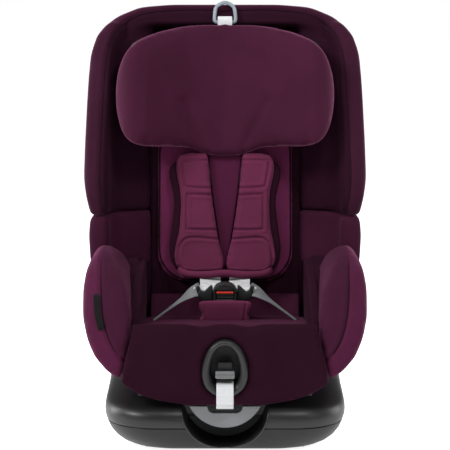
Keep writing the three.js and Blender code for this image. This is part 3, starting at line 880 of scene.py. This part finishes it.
def build_seat():
    cushion = soft_copy("seat_cushion_cloth", "seat_cushion", voxel=5, rounds=6, cap=2)
    done(cushion, "deep", "seat", "seat_cushion")
    apron = soft_copy("front_apron_cloth", "front_apron", voxel=3.2, rounds=10, grow=1.4)
    points = coordinates(apron.data)
    u, v = front_view(points).T
    # The top edge sinks a little on both sides of the crotch pad.
    high = np.clip((v - 165) / 20, 0, 1)
    points[:, 2] -= high * 4 * MM * np.exp(-(((np.abs(u) - 34) / 15) ** 2))
    set_coordinates(apron.data, points)
    # Painted shade: the apron takes the dark cloth for the shade on its downward-facing front.
    done(apron, "dark", "seat", "front_apron")
    for name, side in SIDES:
        bolster = soft_copy(f"thigh_bolster_cloth_{name}", f"thigh_bolster_{name}", voxel=5, rounds=20, cap=1,
                            grow=0.4)
        points = coordinates(bolster.data)
        wide = np.abs(points[:, 0]) > WIDE * MM
        points[wide, 0] = side * (WIDE * MM + (np.abs(points[wide, 0]) - WIDE * MM) * DRAWN_IN)
        set_coordinates(bolster.data, points)
        crest = smooth_line(flipped(side, (
            (190, 286), (186.5, 262), (183, 228), (179, 200), (171, 172), (159, 150), (146, 138))), 6)
        groove(bolster, crest, 2.2, 2.4)
        done(bolster, "plum", "seat", f"thigh_bolster_{name}")
        # Painted shade: the bolster's inner half, inside the crest, takes the deeper cloth.
        paint_shade_inside(bolster, [*crest, (side * 120, 138), (side * 120, 300)], "deep")
        piping(f"bolster_piping_{name}", bolster, even_line(crest, 5), radius=1.1, lift=0.1)
        if side < 0:
            build_tag(bolster)


def build_tag(bolster):
    """A blank woven label caught in the seam."""
    middle = on_surface(bolster, even_line([(-189.5, 229), (-186.5, 205), (-180, 183)], 5), 1.0)
    tag = sweep("side_tag_woven", middle, strap_section(9.5 * MM, 1.2 * MM), side=(1, 0, 0))
    done(tag, "label", "seat", "side_tag")


# ---------------------------------------------------------------- headrest

def build_headrest():
    cushion = soft_copy("headrest_cloth", "headrest_cushion", voxel=5, rounds=24, cap=1.5, grow=3)
    for side in (-1, 1):
        fold = smooth_line(flipped(side, [(27, 414), (34, 436), (52, 470), (66, 500)]), 5)
        groove(cushion, fold, 7, 2.8, shoulder=0.4)
    done(cushion, "rest", "headrest", "headrest_cushion")
    shell = soft_copy("headrest_shell_fine", "headrest_shell", voxel=3, rounds=14)
    done(shell, "inner", "headrest", "headrest_shell")
    keep("headrest_carrier", "inner")
    for name, side in SIDES:
        build_chest_pad(name, side)
    build_centre_strip()


CELLS = (
    ((22, 406), (66, 406), (71, 400), (66, 371), (60, 364), (20, 362)),
    ((16, 350), (56, 352), (61.5, 347), (61.5, 303), (57, 297), (13, 296)),
    ((8, 281), (54, 284), (69, 277), (75, 262), (75, 241), (67, 232), (46, 229), (7, 231)),
)


def build_chest_pad(name, side):
    rim = soft_copy(f"chest_pad_rim_{name}", f"chest_pad_{name}", voxel=3.5, rounds=8, grow=0.8)
    done(rim, "dark", "headrest", f"chest_pad_{name}")
    outline = smooth_line(flipped(side, (
        (2.2, 236), (34, 227), (66, 229), (80, 243), (81, 265), (75, 300), (73, 345), (80, 388), (77, 409),
        (64, 417), (34, 418), (28, 412), (20, 350), (11, 290))), 5, closed=True)
    face = prism(f"chest_pad_face_{name}", outline, "back", 12.5, 24, bevel=3)
    remesh(face, 2.8 * MM)
    relax(face, 5)
    inflate(face, 1.5)
    relax(face, 2)
    subdivide(face)
    for cell in CELLS:
        groove(face, smooth_line(flipped(side, cell), 4), 1.7, 2.0, shoulder=0.5)
    done(face, "light", "headrest")


def build_centre_strip():
    """The V of cloth between the chest pads, with the welt that closes them below."""
    right = [(29, 436), (20, 350), (11, 290), (2, 238)]
    outline = [(-29, 436), *right, *flipped(-1, right[:0:-1])]
    strip = prism("centre_strip", outline, "back", 26, 33, bevel=1.5)
    done(strip, "plum", "headrest")
    line = smooth_line([back_at(x, s, z) for x, s, z in (
        (-72, 20, 233), (-62, 12, 227), (-34, 5, 226.5), (0, 4, 229), (34, 5, 226.5), (62, 12, 227),
        (72, 20, 233))], 6)
    welt = sweep("pad_foot_welt", line, circle_section(6 * MM, 14))
    done(welt, "light", "headrest")


def build_ring():
    path = smooth_line([(-16.5, 630), (-16.8, 642), (-13.5, 654), (0, 660.5), (13.5, 654), (16.8, 642),
                        (16.5, 630), (8, 628), (-8, 628)], 6, closed=True)
    section = [(3.1 * MM * math.cos(a), 2.4 * MM * math.sin(a)) for a in np.arange(10) * math.pi / 5]
    ring = sweep("release_ring_fine", [back_at(x, 33.5, z) for x, z in path], section, closed=True)
    done(ring, "ring", "ring", "release_ring")
    loop = smooth_line([(31, 619), (29.6, 626), (29.4, 633), (31.4, 636.6), (35, 636.6), (37, 632), (37, 600),
                        (37, 490)], 5)
    strap = sweep("ring_strap_woven", [back_at(0, s, z) for s, z in loop], strap_section(24 * MM, 1.4 * MM),
                  side=(1, 0, 0))
    done(strap, "webbing", "ring", "ring_strap")
    keep("headrest_latch", "steel")


# ---------------------------------------------------------------- harness

def ribbon(name, points, sides, width):
    """A strap whose broad face turns along its way: sides holds its across direction at each point."""
    line = smooth_line(points, 8)
    turns = smooth_line(sides, 8)
    section = strap_section(width * MM, 1.5 * MM)
    along = np.gradient(line, axis=0)
    rings = []
    for p, t, across in zip(line, along, turns):
        t = t / np.linalg.norm(t)
        across = across - t * np.dot(across, t)
        across /= np.linalg.norm(across)
        out = np.cross(across, t)
        rings.append([np.asarray(p) + across * u + out * v for u, v in section])
    return loft(name, rings)


def build_harness():
    for name, side in SIDES:
        shoulder = ribbon(
            f"shoulder_webbing_{name}",
            [back_at(side * 42, 40, 398), back_at(side * 36, 41, 330), at(side * 27, 60, 252),
             at(side * 25, 48, 237), at(side * 24, 33, 221), at(side * 23, 16, 217.5),
             at(side * 23, -14, 218), at(side * 30.5, -33, 214), at(side * 34.5, -36, 206)],
            [(1, 0, side * 0.1)] * 6 + [(1, 0, side * -0.15)] * 3, 34)
        done(shoulder, "webbing", "seat", f"shoulder_strap_{name}",
             bend=(f"tongue_{name}", at(side * 24, 12, 218), at(side * 26, -34, 214)))
        lap = ribbon(
            f"lap_webbing_{name}",
            [at(side * 38, -36, 214), at(side * 52, -38, 208), at(side * 68, -38, 197),
             at(side * 88, -37, 182), at(side * 112, -34, 163), at(side * 121, -33, 152)],
            [(side * 0.25, 0.3, 1), (side * 0.35, 0.8, 0.6), (side * 0.1, 1, 0.16), (0, 1, 0.03), (0, 1, 0),
             (0, 1, 0)], 21)
        done(lap, "webbing_dark", "seat", f"lap_strap_{name}",
             bend=(f"tongue_{name}", at(side * 90, -36, 180), at(side * 46, -37, 210)))
        slit = sweep(f"lap_slit_{name}", [at(side * 115, y, 161.5) for y in (-49, -42, -34, -26, -19)],
                     circle_section(1.8 * MM))
        done(slit, "piping", "seat")
        tongue = prism(f"tongue_{name}", flipped(side, (
            (19.5, 196), (36, 195), (43, 202), (42, 209), (38, 213), (33, 210), (24, 219), (19.5, 221))),
            "y", -44, -37, bevel=1.6)
        slot = prism(f"tongue_slot_{name}", flipped(side, ((38, 211), (43.5, 207), (45.5, 218), (40, 220))),
                     "y", -42, -38.5, bevel=1.2)
        done(merged(f"buckle_tongue_fine_{name}", [tongue, slot]), "inner", f"tongue_{name}",
             f"buckle_tongue_{name}")
    dome = [(19 * math.cos(a), 210 + 15.5 * math.sin(a)) for a in np.radians(np.linspace(-14, 194, 26))]
    window = prism("cutter", [(-14, 195.5), (14, 195.5), (14, 212), (-14, 212)], "y", -56, -36.5, bevel=0)
    housing = prism("buckle_body", [(19.4, 191), *dome, (-19.4, 191)], "y", -50, -30, bevel=2.2,
                    cutters=[window])
    ring = sweep("buckle_arch", [at(12.5 * math.cos(a), -50.4, 213 + 8.5 * math.sin(a))
                                 for a in np.radians(np.linspace(10, 170, 14))], circle_section(0.7 * MM, 6))
    done(merged("buckle_body_fine", [housing, ring]), "inner", "seat", "buckle_housing")
    button = prism("buckle_key", [(-13.2, 208.4), (13.2, 208.4), (13.2, 211.3), (-13.2, 211.3)],
                   "y", -50.6, -45, bevel=0.7)
    done(button, "red", "buckle_press", "buckle_button")
    grille = [prism("rung", [(-13.2, z), (13.2, z), (13.2, z + 2.9), (-13.2, z + 2.9)], "y", -49.5, -45,
                    bevel=0.8) for z in (196.6, 200.6, 204.6)]
    done(merged("buckle_key_grip", grille), "bezel", "buckle_press")
    stem = ribbon("crotch_webbing", [at(0, -40.6, 193), at(0, -40.6, 182), at(0, -41, 166)],
                  [(1, 0, 0)] * 3, 24)
    done(stem, "webbing_dark", "seat", "crotch_strap")

    right = [(34, 165), (36, 178), (41, 192), (38, 197.5), (20, 199), (0, 199.5)]
    outline = smooth_line(right + [(-x, z) for x, z in right[-2::-1]], 5, closed=True)
    pad = prism("crotch_pad_cloth", outline, "y", -66, -54, bevel=3)
    remesh(pad, 2.6 * MM)
    relax(pad, 4)
    inflate(pad, 1.5)
    subdivide(pad)
    for side in (-1, 1):
        groove(pad, [(side * 28, 160), (side * 34, 205)], 1.6, 1.4)
    done(pad, "light", "seat", "crotch_pad")


# ---------------------------------------------------------------- harness adjuster

def egg(half, low, high):
    """An oval in mm that is narrower at the top."""
    middle = low + (high - low) * 0.4
    right = [(0, low), (half * 0.72, low + (middle - low) * 0.3), (half, middle),
             (half * 0.8, middle + (high - middle) * 0.62), (half * 0.4, high - (high - middle) * 0.07),
             (0, high)]
    return smooth_line(right + [(-x, z) for x, z in right[-2:0:-1]], 6, closed=True)


def build_adjuster():
    levels = ((33.5, 86, 170, -227), (34, 85.5, 170.5, -234), (33, 86.5, 169.5, -239.5),
              (30, 89.5, 167, -242), (26.2, 93, 164.5, -241.2), (23.2, 96, 162.5, -238),
              (21.8, 97.5, 161.5, -233), (21, 98.5, 160.5, -215), (31, 92, 168, -215))
    rings = [[at(x, y, z) for x, z in egg(half, low, high)] for half, low, high, y in levels]
    bezel = loft("adjuster_bezel_fine", rings, closed=True)
    done(bezel, "bezel", "seat", "adjuster_bezel")
    inside = prism("cutter", egg(26, 96, 162), "y", -220, -201, bevel=0)
    cup = prism("adjuster_cup", egg(30, 92, 166), "y", -213.6, -198, bevel=0, cutters=[inside])
    done(cup, "inner", "seat", "adjuster_housing")
    grip = prism("lever_grip", [(-14, 114), (14, 114), (14, 125), (-14, 125)], "y", -239, -232, bevel=1.6)
    arm = prism("lever_arm", [(-10, 120), (10, 120), (10, 124), (-10, 124)], "y", -234, -203, bevel=0.8)
    key = prism("lever_key", [(-11, 121), (11, 121), (11, 137), (-11, 137)], "y", -229, -222, bevel=1.4)
    ribs = [prism("rib", [(-13, z), (13, z), (13, z + 1), (-13, z + 1)], "y", -239.8, -238, bevel=0.3)
            for z in (115.6, 117.8, 120, 122.2)]
    done(merged("adjuster_grip", [grip, *ribs]), "grey", "adjuster", "adjuster_lever")
    done(merged("adjuster_key", [arm, key]), "inner", "adjuster")
    line = smooth_line([at(0, y, z) for y, z in (
        (-201.5, 106), (-225, 106.4), (-238, 105.6), (-243.6, 102), (-245.4, 94), (-245.6, 82),
        (-245.4, 71.5))], 8)
    strap = sweep("adjuster_webbing", line, strap_section(25 * MM, 1.6 * MM), side=(1, 0, 0))
    stitch = [at(-12, -246.6, 76), at(0, -246.7, 76), at(12, -246.6, 76)]
    hem = sweep("hem", stitch, circle_section(0.35 * MM, 5))
    done(merged("adjuster_webbing_hemmed", [strap, hem]), "webbing", "seat", "adjuster_strap")


LOOKS = make_materials()
place_camera()
build_studio()
build_base()
build_isofix()
build_shell()
build_handle()
build_wings()
build_backrest()
build_seat()
build_headrest()
build_ring()
build_harness()
build_adjuster()
